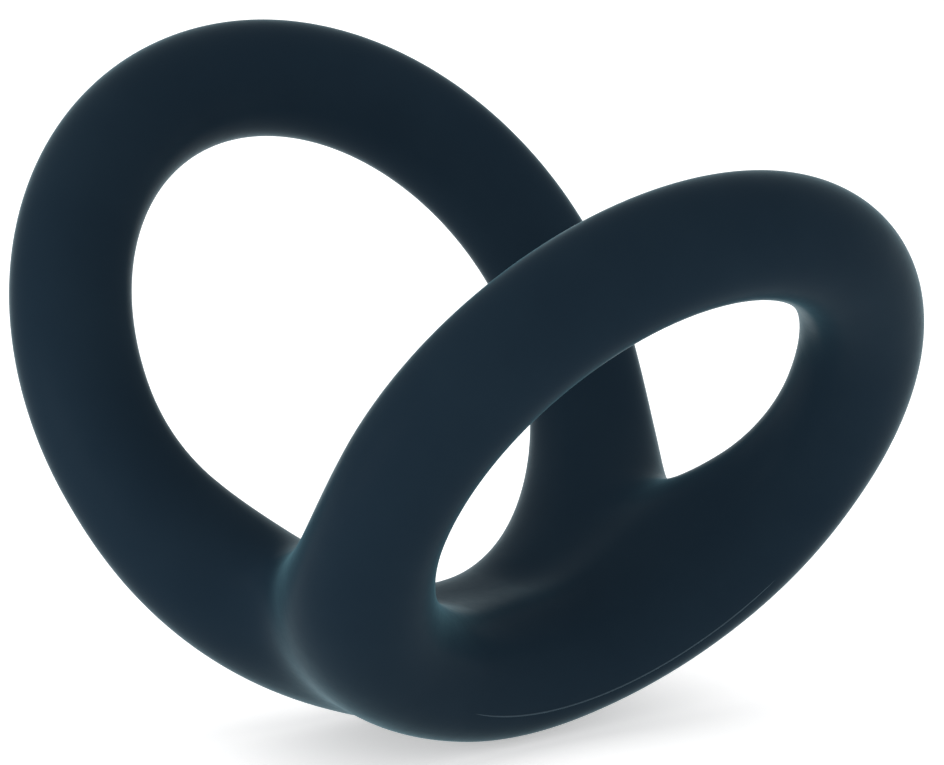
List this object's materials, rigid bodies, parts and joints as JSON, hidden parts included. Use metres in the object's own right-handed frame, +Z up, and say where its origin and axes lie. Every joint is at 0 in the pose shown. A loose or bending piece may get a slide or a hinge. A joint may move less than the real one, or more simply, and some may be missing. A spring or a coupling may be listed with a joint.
{
  "type": "double ring massager",
  "caption": "Soft one-piece hand massager: two round rings of different size rise in a V from a shared base and fold towards or away from each other.",
  "frame": {"origin": "on the floor, under the middle of the whole footprint", "axes": "+Z up, +Y towards the smaller ring, +X along the line where the planes of the two rings meet"},
  "size_m": [0.0716, 0.0828, 0.0633],
  "materials": {
    "saddle": "matt dark blue silicone",
    "rear_ring": "matt dark blue silicone",
    "front_ring": "matt dark blue silicone"
  },
  "bodies": {
    "saddle": {"saddle": "saddle"},
    "rear_ring": {"rear_ring": "rear_ring"},
    "front_ring": {"front_ring": "front_ring"}
  },
  "joints": [
    {"name": "rear_fold", "type": "hinge", "parent": "saddle", "child": "rear_ring", "pos_m": [0, -0.00432, 0.00626], "axis": [-1, 0, 0], "range_deg": [-20, 20], "stiffness_Nm_per_rad": 0.5, "springref_deg": 0.29, "deforming": ["saddle"]},
    {"name": "front_fold", "type": "hinge", "parent": "saddle", "child": "front_ring", "pos_m": [0, 0.00735, 0.00626], "axis": [1, 0, 0], "range_deg": [-20, 20], "stiffness_Nm_per_rad": 0.5, "springref_deg": 0.23, "deforming": ["saddle"]}
  ]
}
